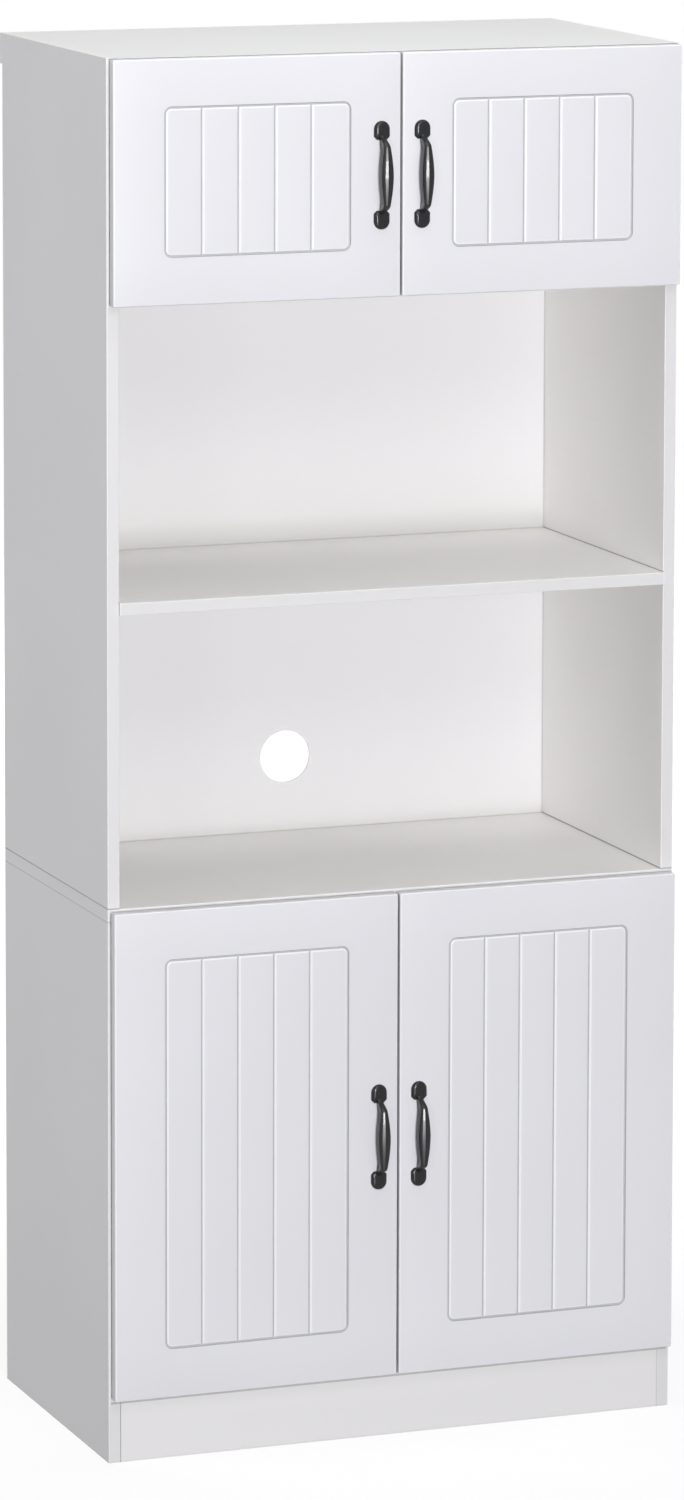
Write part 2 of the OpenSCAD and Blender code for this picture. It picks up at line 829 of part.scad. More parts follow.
module upper_right_door() { door(upper_door_z, upper_door_h, upper_margin_z, upper_hinges, true); }
module upper_right_handle() { door_handle(upper_door_z, upper_door_h, true); }
module upper_right_handle_screws() { handle_screws(upper_door_z, upper_door_h, true); }
module upper_right_hinge_cups() { hinge_cups(upper_hinges, true); }
module upper_right_hinge_pins() { hinge_pins(upper_hinges, true); }
module upper_right_cup_screws() { cup_screws(upper_hinges, true); }
module upper_right_bumpers() { bumpers(upper_door_z, upper_door_h, true); }

module lower_left_door() { door(lower_door_z, lower_door_h, lower_margin_z, lower_hinges, false); }
module lower_left_handle() { door_handle(lower_door_z, lower_door_h, false); }
module lower_left_handle_screws() { handle_screws(lower_door_z, lower_door_h, false); }
module lower_left_hinge_cups() { hinge_cups(lower_hinges, false); }
module lower_left_hinge_pins() { hinge_pins(lower_hinges, false); }
module lower_left_cup_screws() { cup_screws(lower_hinges, false); }
module lower_left_bumpers() { bumpers(lower_door_z, lower_door_h, false); }

module lower_right_door() { door(lower_door_z, lower_door_h, lower_margin_z, lower_hinges, true); }
module lower_right_handle() { door_handle(lower_door_z, lower_door_h, true); }
module lower_right_handle_screws() { handle_screws(lower_door_z, lower_door_h, true); }
module lower_right_hinge_cups() { hinge_cups(lower_hinges, true); }
module lower_right_hinge_pins() { hinge_pins(lower_hinges, true); }
module lower_right_cup_screws() { cup_screws(lower_hinges, true); }
module lower_right_bumpers() { bumpers(lower_door_z, lower_door_h, true); }

base_side_left();
base_side_right();
base_floor();
kick_board();
counter_board();
base_back_panel();
base_shelf();
shelf_pins();
hutch_side_left();
hutch_side_right();
hutch_back_panel();
mid_shelf();
upper_floor();
top_board();
wall_rail();
wall_rail_screws();
joining_plates();
joining_plate_screws();
back_panel_screws();
cam_bolts();
cam_locks();
wood_dowels();
hinge_plates();
hinge_plate_screws();
hinge_arms();
hinge_arm_screws();
upper_left_door();
upper_left_handle();
upper_left_handle_screws();
upper_left_hinge_cups();
upper_left_hinge_pins();
upper_left_cup_screws();
upper_left_bumpers();
upper_right_door();
upper_right_handle();
upper_right_handle_screws();
upper_right_hinge_cups();
upper_right_hinge_pins();
upper_right_cup_screws();
upper_right_bumpers();
lower_left_door();
lower_left_handle();
lower_left_handle_screws();
lower_left_hinge_cups();
lower_left_hinge_pins();
lower_left_cup_screws();
lower_left_bumpers();
lower_right_door();
lower_right_handle();
lower_right_handle_screws();
lower_right_hinge_cups();
lower_right_hinge_pins();
lower_right_cup_screws();
lower_right_bumpers();
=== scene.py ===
"""Looks of the tall microwave cabinet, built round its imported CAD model.

The boards and the fittings are the CAD's own solids with procedural materials. The four doors and
the four handles are meshes made here, which stand for the CAD's plainer ones. They are written in
millimetres and made in metres, as everything else is.
"""
import math

import bmesh
import bpy
from mathutils import Matrix, Vector
from mathutils.geometry import tessellate_polygon


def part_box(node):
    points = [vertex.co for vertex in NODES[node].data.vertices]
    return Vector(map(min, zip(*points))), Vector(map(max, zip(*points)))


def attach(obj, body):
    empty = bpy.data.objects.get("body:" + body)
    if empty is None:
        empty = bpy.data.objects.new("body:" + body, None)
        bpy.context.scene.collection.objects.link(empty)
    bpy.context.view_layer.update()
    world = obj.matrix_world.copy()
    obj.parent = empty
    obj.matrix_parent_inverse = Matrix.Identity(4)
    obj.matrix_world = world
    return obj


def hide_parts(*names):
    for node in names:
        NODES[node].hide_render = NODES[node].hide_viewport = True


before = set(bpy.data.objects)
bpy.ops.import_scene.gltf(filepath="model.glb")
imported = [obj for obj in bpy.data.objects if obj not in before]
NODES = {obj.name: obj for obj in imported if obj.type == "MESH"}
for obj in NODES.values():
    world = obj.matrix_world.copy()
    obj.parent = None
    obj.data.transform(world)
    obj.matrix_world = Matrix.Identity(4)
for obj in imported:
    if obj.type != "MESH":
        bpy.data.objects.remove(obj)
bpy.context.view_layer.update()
MM = 0.001
DOORS = ("upper_left", "upper_right", "lower_left", "lower_right")

# Places on the cabinet that the materials' painted shadow lines and face masks follow
INNER_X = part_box("kick_board")[1].x
OUTER_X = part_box("hutch_side_right")[1].x
KICK_TOP_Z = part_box("kick_board")[1].z
COUNTER_LOW_Z, COUNTER_TOP_Z = (corner.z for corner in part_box("counter_board"))
SHELF_TOP_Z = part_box("mid_shelf")[1].z
TOP_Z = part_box("top_board")[1].z
DOOR_REVEAL = 0.003


# ---- materials ----

class Tree:
    """A short way to write the node tree of a material or a world: node adds a node and returns
    it, and the calls below it add one and return its output."""

    def __init__(self, owner, output="OutputMaterial"):
        owner.use_nodes = True
        self.nodes, self.links = owner.node_tree.nodes, owner.node_tree.links
        self.nodes.clear()
        self.surface = self.node(output).inputs["Surface"]

    def node(self, kind, values=None, **settings):
        made = self.nodes.new("ShaderNode" + kind)
        for name, value in settings.items():
            setattr(made, name, value)
        for name, value in (values or {}).items():
            self.put(made.inputs[name], value)
        return made

    def put(self, socket, value):
        if isinstance(value, bpy.types.NodeSocket):
            self.links.new(value, socket)
        else:
            socket.default_value = value

    def math(self, operation, *values):
        made = self.node("Math", operation=operation)
        for socket, value in zip(made.inputs, values):
            self.put(socket, value)
        return made.outputs[0]

    def spread(self, value, low, high, to_low=0.0, to_high=1.0):
        """The value, carried from low..high to to_low..to_high and held at the ends."""
        made = self.node("MapRange", {"Value": value, "From Min": low, "From Max": high,
                                      "To Min": to_low, "To Max": to_high})
        return made.outputs["Result"]

    def noise(self, vector, scale, detail=2.0, rough=0.5):
        return self.node("TexNoise", {"Vector": vector, "Scale": scale, "Detail": detail,
                                      "Roughness": rough}).outputs["Fac"]

    def mix(self, factor, a, b):
        made = self.node("Mix", data_type="RGBA")
        self.put(made.inputs["Factor"], factor)
        self.put(made.inputs["A"], a)
        self.put(made.inputs["B"], b)
        return made.outputs["Result"]

    def bump(self, height, strength, distance):
        made = self.node("Bump", {"Height": height, "Strength": strength, "Distance": distance})
        return made.outputs["Normal"]

    def backdrop_rays(self):
        """1 for the rays that see the white background: camera, glossy and transmission rays."""
        path = self.node("LightPath").outputs
        return self.math("MAXIMUM", path["Is Camera Ray"],
                         self.math("MAXIMUM", path["Is Glossy Ray"], path["Is Transmission Ray"]))

    def principled(self, **values):
        """Ends the tree: underscores in the names stand for the spaces in the sockets' names."""
        sockets = {name.replace("_", " "): value for name, value in values.items()}
        self.put(self.surface, self.node("BsdfPrincipled", sockets).outputs[0])


def rgb(r, g, b):
    return (r, g, b, 1.0)


def shade(colour, factor):
    return rgb(*(c * factor for c in colour[:3]))


BOARD = rgb(0.920, 0.910, 0.897)
LEVEL = rgb(0.955, 0.945, 0.930)
TOP = rgb(0.890, 0.892, 0.897)
PANEL = rgb(0.915, 0.907, 0.900)
OUTSIDE = rgb(0.905, 0.903, 0.925)
EDGING = rgb(0.650, 0.642, 0.657)
KICK_FRONT = rgb(0.704, 0.692, 0.704)
# Colour of the painted shade on the back panels just above the shelf and the counter
BAY_SHADE = rgb(0.50, 0.495, 0.46)
FOIL = rgb(0.672, 0.672, 0.711)
# Painted highlight on the doors' routing shoulders and edges
FOIL_HIGHLIGHT = rgb(0.82, 0.82, 0.85)
# Painted highlight on the boards' arrises
ARRIS_HIGHLIGHT = rgb(0.96, 0.96, 0.965)

# How far a board's painted arris highlight and painted corner shade reach, how dark the corner shade
# is, and the share of a shadow line's half width that is at its full depth
ARRIS_HIGHLIGHT_REACH = 0.0026
CORNER_SHADE_REACH, CORNER_SHADE_DEPTH = 0.005, 0.75
LINE_CORE = 0.4


def new_material(name):
    material = bpy.data.materials.new(name)
    return material, Tree(material)


def place(tree, stretch=(1, 1, 1)):
    """The point on the piece at rest, stretched along each axis."""
    coords = tree.node("TexCoord").outputs["Object"]
    return tree.node("Mapping", {"Vector": coords, "Scale": stretch}).outputs["Vector"]


def arris(tree, radius):
    """0 on a flat face, rising to 1 at the piece's own edges."""
    rounded = tree.node("Bevel", {"Radius": radius}, samples=6).outputs[0]
    flat = tree.node("NewGeometry").outputs["Normal"]
    turn = tree.node("VectorMath", {0: rounded, 1: flat}, operation="DOT_PRODUCT")
    return tree.spread(turn.outputs["Value"], 0.985, 0.80)


def crevice_shade(tree, distance):
    """0 in the open, rising to 1 where another face stands close by: the mask of the painted shade.
    """
    open_share = tree.node("AmbientOcclusion", {"Distance": distance}, samples=8).outputs["AO"]
    return tree.spread(open_share, 0.75, 0.40)


def white_board(name, colour, arris_highlight, seams=(), ends=(), shade_above=(), pearl=1.0, front=EDGING):
    """Melamine on particle board: a fine pearl, faint mottling, painted shade in the corners, a
    painted highlight on the arrises as strong as the third argument, a cooler white on the outer
    sides, and the colour front on the faces to the front. seams are painted shadow lines, at level
    joints, below the doors and along the top board's front edge: height, half width, depth and the
    faces that have them.
    ends are the same for upright joints, by their distance from the middle. The list before pearl
    holds the heights above which painted shade darkens the front, with how far up and how strongly."""
    material, t = new_material(name)
    p = place(t)
    x, z = (t.node("SeparateXYZ", {0: p}).outputs[axis] for axis in "XZ")
    aside = t.math("ABSOLUTE", x)
    facing = t.node("SeparateXYZ", {0: t.node("NewGeometry").outputs["Normal"]}).outputs["Y"]
    front_face = t.spread(facing, -0.6, -0.9)
    faces = {"all": 1.0, "front": front_face,
             "inside": t.spread(aside, INNER_X + 0.002, INNER_X + 0.001),
             "behind door": t.math("MULTIPLY", front_face,
                                   t.spread(aside, OUTER_X - DOOR_REVEAL,
                                            OUTER_X - DOOR_REVEAL - 0.0004))}
    cloud = t.noise(p, 3.0, 3.0)
    fleck = t.noise(p, 420.0, 4.0, 0.65)
    tone = t.math("ADD", t.math("MULTIPLY", cloud, 0.6), t.math("MULTIPLY", fleck, 0.4))
    tone = t.spread(tone, 0.35, 0.65)
    plain, outside = (t.mix(tone, shade(c, 0.975), shade(c, 1.02)) for c in (colour, OUTSIDE))
    outer = t.spread(aside, OUTER_X - 0.001, OUTER_X - 0.0005)
    face = t.mix(outer, plain, outside)
    face = t.mix(front_face, face, front)
    # Painted shade in the corners, where other faces stand close
    corner = t.math("MULTIPLY", crevice_shade(t, CORNER_SHADE_REACH), CORNER_SHADE_DEPTH)
    face = t.mix(corner, face, shade(colour, 0.45))
    # Painted highlight on the arrises, as strong as the third argument
    rim = t.math("MULTIPLY", arris(t, ARRIS_HIGHLIGHT_REACH), arris_highlight)
    face = t.mix(rim, face, ARRIS_HIGHLIGHT)
    # Painted shadow lines along the joints, below the doors and along the top board's front edge
    lines = [(z, *seam) for seam in seams] + [(aside, *end) for end in ends]
    for along, middle, half, depth, where in lines:
        off = t.math("ABSOLUTE", t.math("SUBTRACT", along, middle))
        line = t.math("MULTIPLY", t.spread(off, half, half * LINE_CORE), depth)
        line = t.math("MULTIPLY", line, faces[where])
        face = t.mix(line, face, shade(colour, 0.30))
    # Painted shade on the front, darkest just above each height
    for height, fade, depth in shade_above:
        above = t.math("SUBTRACT", z, height)
        near = t.math("MULTIPLY", t.spread(above, fade, 0.0), t.spread(above, -0.001, 0.0))
        shade_band = t.math("MULTIPLY", t.math("MULTIPLY", near, near), depth)
        shade_band = t.math("MULTIPLY", shade_band, front_face)
        face = t.mix(shade_band, face, BAY_SHADE)
    rough = t.spread(fleck, 0.3, 0.7, 0.40, 0.50)
    normal = t.bump(fleck, 0.12 * pearl, 0.0002)
    t.principled(Base_Color=face, Roughness=rough, Normal=normal, Specular_IOR_Level=0.5)
    return material


def door_foil(name):
    """Satin foil over routed fibreboard: a soft orange peel, a painted highlight on the routing's
    shoulders and the door's edges, painted shade at the routing's bottom and on the vees' left
    flanks, and painted shade where the door stands close to other faces."""
    material, t = new_material(name)
    p = place(t)
    cloud = t.noise(p, 2.5, 2.0)
    peel = t.noise(p, 260.0, 2.0)
    face = t.mix(t.spread(cloud, 0.35, 0.65), shade(FOIL, 0.985), shade(FOIL, 1.015))
    groove, shoulder = (t.node("Attribute", attribute_name=label).outputs["Fac"]
                        for label in ("groove", "shoulder"))
    # Painted shade in the routing, painted highlight on its shoulders and the door's edges
    face = t.mix(t.math("MULTIPLY", groove, 0.50), face, shade(FOIL, 0.5))
    face = t.mix(t.math("MULTIPLY", shoulder, 0.85), face, FOIL_HIGHLIGHT)
    # Painted shade where the door stands close to other faces, as along its gaps
    gap_shade = t.math("MULTIPLY", crevice_shade(t, 0.004), 0.6)
    face = t.mix(gap_shade, face, shade(FOIL, 0.35))
    rough = t.spread(peel, 0.3, 0.7, 0.36, 0.42)
    normal = t.bump(peel, 0.03, 0.0001)
    t.principled(Base_Color=face, Roughness=rough, Normal=normal, Specular_IOR_Level=0.4)
    return material


def black_gloss(name):
    """Gloss black paint on a cast handle: a slight ripple under a thin clear coat, worn paler on
    the edges, and a polish along the bow that draws the highlight out."""
    material, t = new_material(name)
    p = place(t)
    ripple = t.noise(p, 120.0, 2.0)
    speck = t.noise(p, 900.0, 3.0, 0.7)
    rim = t.math("MULTIPLY", arris(t, 0.0008), 0.25)
    face = t.mix(t.spread(speck, 0.3, 0.7), rgb(0.007, 0.007, 0.009), rgb(0.014, 0.014, 0.017))
    face = t.mix(rim, face, rgb(0.04, 0.04, 0.045))
    normal = t.bump(ripple, 0.04, 0.0003)
    along = t.node("Tangent", direction_type="RADIAL", axis="Z").outputs[0]
    t.principled(Base_Color=face, Roughness=t.spread(speck, 0.3, 0.7, 0.25, 0.31), Normal=normal,
                 Specular_IOR_Level=0.25, Coat_Weight=0.08, Coat_Roughness=0.05,
                 Anisotropic=0.9, Anisotropic_Rotation=0.25, Tangent=along)
    return material


def plated(name, colour, rough, stretch, wear):
    """Plated steel: drawing marks along one axis, faint stains, brighter rubbed edges."""
    material, t = new_material(name)
    marks = t.noise(place(t, stretch), 700.0, 4.0, 0.6)
    stain = t.noise(place(t), 45.0, 3.0)
    face = t.mix(t.spread(stain, 0.35, 0.7), colour, shade(colour, 0.82))
    face = t.mix(t.math("MULTIPLY", arris(t, 0.0006), wear), face, rgb(0.90, 0.90, 0.89))
    t.principled(Base_Color=face, Metallic=1.0, Normal=t.bump(marks, 0.15, 0.0002),
                 Roughness=t.spread(marks, 0.3, 0.7, rough - 0.07, rough + 0.08))
    return material


def beech(name):
    """Raw beech dowels: grain along the dowel with short dark flecks."""
    material, t = new_material(name)
    grain = t.noise(place(t, (1, 12, 12)), 60.0, 5.0, 0.65)
    fleck = t.noise(place(t, (1, 6, 6)), 350.0, 2.0)
    face = t.mix(t.spread(grain, 0.3, 0.7), rgb(0.70, 0.50, 0.30), rgb(0.56, 0.37, 0.20))
    face = t.mix(t.spread(fleck, 0.6, 0.75, 0.0, 0.5), face, rgb(0.38, 0.23, 0.12))
    t.principled(Base_Color=face, Roughness=t.spread(grain, 0.3, 0.7, 0.55, 0.75),
                 Normal=t.bump(grain, 0.3, 0.0004))
    return material


def clear_pad(name):
    """Soft clear bumper: milky, slightly grainy."""
    material, t = new_material(name)
    grain = t.noise(place(t), 500.0, 2.0)
    face = t.mix(t.spread(grain, 0.3, 0.7), rgb(0.80, 0.82, 0.84), rgb(0.70, 0.72, 0.74))
    t.principled(Base_Color=face, Roughness=t.spread(grain, 0.3, 0.7, 0.30, 0.45),
                 Transmission_Weight=0.35, Normal=t.bump(grain, 0.1, 0.0002))
    return material


# Painted shadow lines, height, half width and depth: painted shade on the top board's front edge
# just above the upper doors, and the lower doors' painted shadow on the kick and the sides below
# them
TOP_EDGE_SHADE = (TOP_Z - 0.0011, 0.0008, 0.9)
UNDER_DOOR_SHADOW = (KICK_TOP_Z - 0.0020, 0.0020, 0.65)

mats = {
    "hutch_side": white_board("white_board_hutch_side", BOARD, 0.75,
                              seams=((COUNTER_TOP_Z, 0.0020, 0.9, "all"),
                                     (SHELF_TOP_Z, 0.0016, 0.8, "inside"),
                                     (*TOP_EDGE_SHADE, "behind door"))),
    "base_side": white_board("white_board_base_side", BOARD, 0.25,
                             seams=((COUNTER_LOW_Z, 0.0016, 0.55, "all"),
                                    (*UNDER_DOOR_SHADOW, "behind door"))),
    "counter": white_board("white_board_counter", LEVEL, 0.85),
    "level": white_board("white_board_level", LEVEL, 0.85),
    "top": white_board("white_board_top", TOP, 0.85, seams=((*TOP_EDGE_SHADE, "front"),)),
    "inner": white_board("white_board_inner", BOARD, 0.4),
    "kick": white_board("white_board_kick", BOARD, 0.5, front=KICK_FRONT,
                        seams=((*UNDER_DOOR_SHADOW, "front"),),
                        ends=((INNER_X, 0.0011, 0.6, "all"),)),
    "panel": white_board("white_panel", PANEL, 0.2, pearl=0.6,
                         seams=((SHELF_TOP_Z, 0.0016, 0.6, "front"),
                                (COUNTER_TOP_Z, 0.0016, 0.6, "front")),
                         ends=((INNER_X, 0.0016, 0.5, "front"),),
                         # Painted shade on the panels' fronts above the shelf and the counter
                         shade_above=((SHELF_TOP_Z, 0.13, 0.55), (COUNTER_TOP_Z, 0.11, 0.35))),
    "door": door_foil("white_door"),
    "handle": black_gloss("black_gloss"),
    "nickel": plated("nickel", rgb(0.70, 0.69, 0.65), 0.24, (1, 1, 8), 0.5),
    "zinc": plated("zinc", rgb(0.62, 0.63, 0.65), 0.32, (4, 4, 1), 0.6),
    "beech": beech("beech"),
    "pad": clear_pad("clear_pad"),
}

BOARD_LOOK = {
    "hutch_side_left": "hutch_side", "hutch_side_right": "hutch_side",
    "base_side_left": "base_side", "base_side_right": "base_side",
    "counter_board": "counter", "mid_shelf": "level", "top_board": "top",
    "upper_floor": "level", "base_floor": "inner", "base_shelf": "inner",
    "kick_board": "kick", "wall_rail": "inner",
    "hutch_back_panel": "panel", "base_back_panel": "panel",
}
# The fittings' looks, by the ends of their nodes' names
FITTING_LOOK = (
    ("nickel", ("shelf_pins", "hinge_plates", "hinge_arms", "hinge_cups")),
    ("zinc", ("screws", "joining_plates", "cam_bolts", "cam_locks", "hinge_pins")),
    ("beech", ("wood_dowels",)),
    ("pad", ("bumpers",)),
)


def dress(obj, material):
    obj.data.materials.clear()
    obj.data.materials.append(material)


for node_name, obj in NODES.items():
    look = BOARD_LOOK.get(node_name)
    for name, endings in FITTING_LOOK:
        if node_name.endswith(endings):
            look = name
    if look:
        dress(obj, mats[look])


# ---- mesh helpers ----

def make_piece(name, points, faces, material, sharp_deg):
    """A closed mesh from points in millimetres in the shared frame."""
    mesh = bpy.data.meshes.new(name)
    mesh.from_pydata([Vector(p) * MM for p in points], [], faces)
    mesh.validate()
    obj = bpy.data.objects.new(name, mesh)
    bpy.context.scene.collection.objects.link(obj)
    for polygon in mesh.polygons:
        polygon.use_smooth = True
    mesh.set_sharp_from_angle(angle=math.radians(sharp_deg))
    mesh.materials.append(material)
    return obj


def band(ring_a, ring_b, flip=False):
    """Faces between two closed rings of vertex numbers, leaving out those without area."""
    faces = []
    n = len(ring_a)
    for i in range(n):
        j = (i + 1) % n
        corners = [ring_a[i], ring_a[j], ring_b[j], ring_b[i]]
        face = [c for k, c in enumerate(corners) if c != corners[k - 1]]
        if len(face) > 2:
            faces.append(face[::-1] if flip else face)
    return faces


def add_ring(points, ring):
    """Adds the ring's points to the list and returns their numbers."""
    start = len(points)
    points.extend(ring)
    return list(range(start, len(points)))


def arc(start_deg, turn_deg, steps, centre, radius):
    """Points on an arc, with both its ends."""
    angles = [math.radians(start_deg + turn_deg * k / steps) for k in range(steps + 1)]
    return [(centre[0] + radius * math.cos(a), centre[1] + radius * math.sin(a)) for a in angles]


def weld(obj, distance=1e-6):
    """Joins doubled points and turns every face outwards."""
    bm = bmesh.new()
    bm.from_mesh(obj.data)
    bmesh.ops.remove_doubles(bm, verts=bm.verts, dist=distance)
    bmesh.ops.recalc_face_normals(bm, faces=bm.faces)
    bm.to_mesh(obj.data)
    bm.free()


# ---- doors (sizes in millimetres) ----

EDGE_R = 2.0                        # rounding of the door's edges and corners
ROUND_STEPS = CORNER_STEPS = 5
EDGE_HIGHLIGHT = 0.9                    # shoulder value of every point off the front face: a painted highlight on the rounded edges, and the same lighter white on the back and in the bores

# The routed frame: its line's distance from the door's edges, its corner radius, and its profile
# across that line, + to the outside: outer wall, flat floor, and a shoulder that rises inwards
FRAME_X = 69.0
FRAME_Z = {"upper": 62.0, "lower": 65.0}
FRAME_R = 8.0
ROUTE_DEPTH = 1.9
WALL_OUT, WALL_IN = 2.1, 1.3
FLOOR_IN, SHOULDER_IN = 0.2, 3.2

# The vee grooves between the planks, at one pitch from the frame's left line
PLANK = 48.7
PLANKS = 5
VEE_DEPTH, VEE_HALF, VEE_POWER = 1.8, 3.0, 1.5

# Where the painted shade on the routing's outer wall and bottom and the painted highlight on its
# shoulders start, over what they rise, where they end and over what they fall. Those of the vee
# grooves are shares of VEE_HALF: painted shade on the left flank, painted highlight on the right.
ROUTE_SHADE_FADE = 0.9
ROUTE_HIGHLIGHT = (-SHOULDER_IN, 0.8, -FLOOR_IN, 0.7)
VEE_SHADE = (-0.95, 0.35, 0.12, 0.24)
VEE_HIGHLIGHT = (0.02, 0.2, 1.0, 0.3)

# Grid steps of the front face, and the least distance between two of its lines
OPEN_STEP, ROUTE_STEP, VEE_STEP, LEAST_STEP = 60.0, 0.45, 0.35, 0.12

# The hinge cups' bores: radius, depth, distance from the door's edge, and half a cup's height
CUP_R, CUP_BORE, CUP_EDGE, CUP_WING = 17.5, 12.5, 4.0, 31.0
CUP_STEPS = 64


def ease(t):
    t = min(max(t, 0.0), 1.0)
    return t * t * (3 - 2 * t)


def pulse(t, start, rise, end, fall):
    """Rises from 0 at start and falls back to 0 at end."""
    return ease((t - start) / rise) * ease((end - t) / fall)


def frame_distance(u, v, w, h, margin_z):
    """Distance outside (+) or inside (-) the routed frame's line, a rectangle with round corners."""
    half_w, half_h = w / 2 - FRAME_X, h / 2 - margin_z
    du = abs(u - w / 2) - (half_w - FRAME_R)
    dv = abs(v - h / 2) - (half_h - FRAME_R)
    if du > 0 and dv > 0:
        return math.hypot(du, dv) - FRAME_R
    return max(du, dv) - FRAME_R


def routing(u, v, w, h, margin_z):
    """Depth of the routing at a point of the front face, its painted shade, and the painted
    highlight on its shoulder.
    """
    t = frame_distance(u, v, w, h, margin_z)
    depth = dark = light = 0.0
    if -SHOULDER_IN < t < WALL_OUT:
        if t > WALL_IN:
            depth = ROUTE_DEPTH * ease((WALL_OUT - t) / (WALL_OUT - WALL_IN))
        elif t > -FLOOR_IN:
            depth = ROUTE_DEPTH
        else:
            s = (t + SHOULDER_IN) / (SHOULDER_IN - FLOOR_IN)
            depth = ROUTE_DEPTH * (1 - math.sqrt(max(0.0, 1 - s * s)))
        # Painted shade on the outer wall and bottom, painted highlight on the inner shoulder
        dark = ease((t + ROUTE_SHADE_FADE) / ROUTE_SHADE_FADE)
        light = pulse(t, *ROUTE_HIGHLIGHT)
    if t < 0:
        for i in range(1, PLANKS):
            a = u - FRAME_X - i * PLANK
            if abs(a) < VEE_HALF:
                side = a / VEE_HALF
                vee = VEE_DEPTH * (1 - abs(side)) ** VEE_POWER
                if vee > depth:
                    depth, dark, light = vee, pulse(side, *VEE_SHADE), pulse(side, *VEE_HIGHLIGHT)
    return depth, dark, light


def cluster(lines, low, high, step):
    """Adds evenly spaced lines from low to high."""
    n = max(1, round((high - low) / step))
    lines.update(round(low + (high - low) * i / n, 4) for i in range(n + 1))


def grid_lines(length, margin, grooves=()):
    """Places of the front face's grid lines along one side: close together at the routing."""
    lines = set()
    cluster(lines, EDGE_R, length - EDGE_R, OPEN_STEP)
    for low in (margin - WALL_OUT - 0.4, length - margin - FRAME_R - 1.0):
        cluster(lines, low, low + WALL_OUT + FRAME_R + 1.4, ROUTE_STEP)
    for g in grooves:
        cluster(lines, g - VEE_HALF - 0.2, g + VEE_HALF + 0.2, VEE_STEP)
    kept = []
    for x in sorted(lines):
        if not kept or x - kept[-1] > LEAST_STEP:
            kept.append(x)
    return kept


def edge_rings(points, xs, zs, w, h, t):
    """The rings of vertex numbers over the rounded edges, from the front face's border, which is
    part of its grid of points, to the back face's."""
    n, m = len(xs), len(zs)

    def ring(inset, y):
        """A ring of the door's outline, drawn in by inset: each side's grid lines and a corner."""
        r = EDGE_R

        def corner(centre, start):
            return [(x, y, z) for x, z in arc(start, 90, CORNER_STEPS, centre, r - inset)[1:-1]]

        made = [(x, y, inset) for x in xs] + corner((w - r, r), 270)
        made += [(w - inset, y, z) for z in zs] + corner((w - r, h - r), 0)
        made += [(x, y, h - inset) for x in xs[::-1]] + corner((r, h - r), 90)
        made += [(inset, y, z) for z in zs[::-1]] + corner((r, r), 180)
        return add_ring(points, made)

    last = n * m - 1
    sides = (list(range(n)), [r * n + n - 1 for r in range(m)],
             list(range(last, last - n, -1)), [r * n for r in range(m - 1, -1, -1)])
    rings = [[i for side in sides for i in side + side[-1:] * (CORNER_STEPS - 1)]]
    angles = [math.radians(90 * k / ROUND_STEPS) for k in range(ROUND_STEPS + 1)]
    for a in angles[1:]:
        rings.append(ring(EDGE_R * (1 - math.sin(a)), EDGE_R * (1 - math.cos(a))))
    for a in angles:
        rings.append(ring(EDGE_R * (1 - math.cos(a)), t - EDGE_R * (1 - math.sin(a))))
    return rings


def without_doubles(points, ring):
    """The ring without vertices that stand where the one before them does."""
    kept = []
    for i in ring:
        if not kept or math.dist(points[i], points[kept[-1]]) > 1e-6:
            kept.append(i)
    if math.dist(points[kept[0]], points[kept[-1]]) < 1e-6:
        kept.pop()
    return kept


def build_door(name):
    """A door with rounded edges, a routed front and two cup bores in its back."""
    low, high = (Vector(c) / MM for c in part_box(name + "_door"))
    w, t, h = high.x - low.x, high.y - low.y, high.z - low.z
    margin_z = FRAME_Z[name.split("_")[0]]
    xs = grid_lines(w, FRAME_X, [FRAME_X + i * PLANK for i in range(1, PLANKS)])
    zs = grid_lines(h, margin_z)
    n, m = len(xs), len(zs)
    points, grooves, shoulders = [], [], []
    for z in zs:
        for x in xs:
            depth, dark, light = routing(x, z, w, h, margin_z)
            points.append((x, depth, z))
            grooves.append(dark)
            shoulders.append(light)
    faces = [(r * n + c, r * n + c + 1, (r + 1) * n + c + 1, (r + 1) * n + c)
             for r in range(m - 1) for c in range(n - 1)]
    rings = edge_rings(points, xs, zs, w, h, t)
    for a, b in zip(rings, rings[1:]):
        faces += band(b, a)

    # The bores for the hinge cups, and the back face round them
    cup_low, cup_high = (Vector(c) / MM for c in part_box(name + "_hinge_cups"))
    cup_in = CUP_EDGE + CUP_R
    cup_x = w - cup_in if name.endswith("right") else cup_in
    loops = [without_doubles(points, rings[-1])]
    for cup_z in (cup_low.z + CUP_WING - low.z, cup_high.z - CUP_WING - low.z):
        circle = arc(0, 360, CUP_STEPS, (cup_x, cup_z), CUP_R)[:-1]
        rim, bottom = (add_ring(points, [(x, y, z) for x, z in circle])
                       for y in (t, t - CUP_BORE))
        faces += band(rim, bottom)
        faces.append(bottom)
        loops.append(rim)
    numbers = [i for loop in loops for i in loop]
    flat = [[Vector((points[i][0], points[i][2], 0)) for i in loop] for loop in loops]
    faces += [tuple(numbers[i] for i in tri) for tri in tessellate_polygon(flat)]

    placed = [(x + low.x, y + low.y, z + low.z) for x, y, z in points]
    door = make_piece(name + "_door_panel", placed, faces, mats["door"], 40.0)
    # The painted shade and the painted highlight, kept as point attributes
    for label, front, rest in (("groove", grooves, 0.0), ("shoulder", shoulders, EDGE_HIGHLIGHT)):
        layer = door.data.attributes.new(label, "FLOAT", "POINT")
        layer.data.foreach_set("value", front + [rest] * (len(points) - len(front)))
    return door


# ---- handles (sizes in millimetres, heights from the door's face) ----

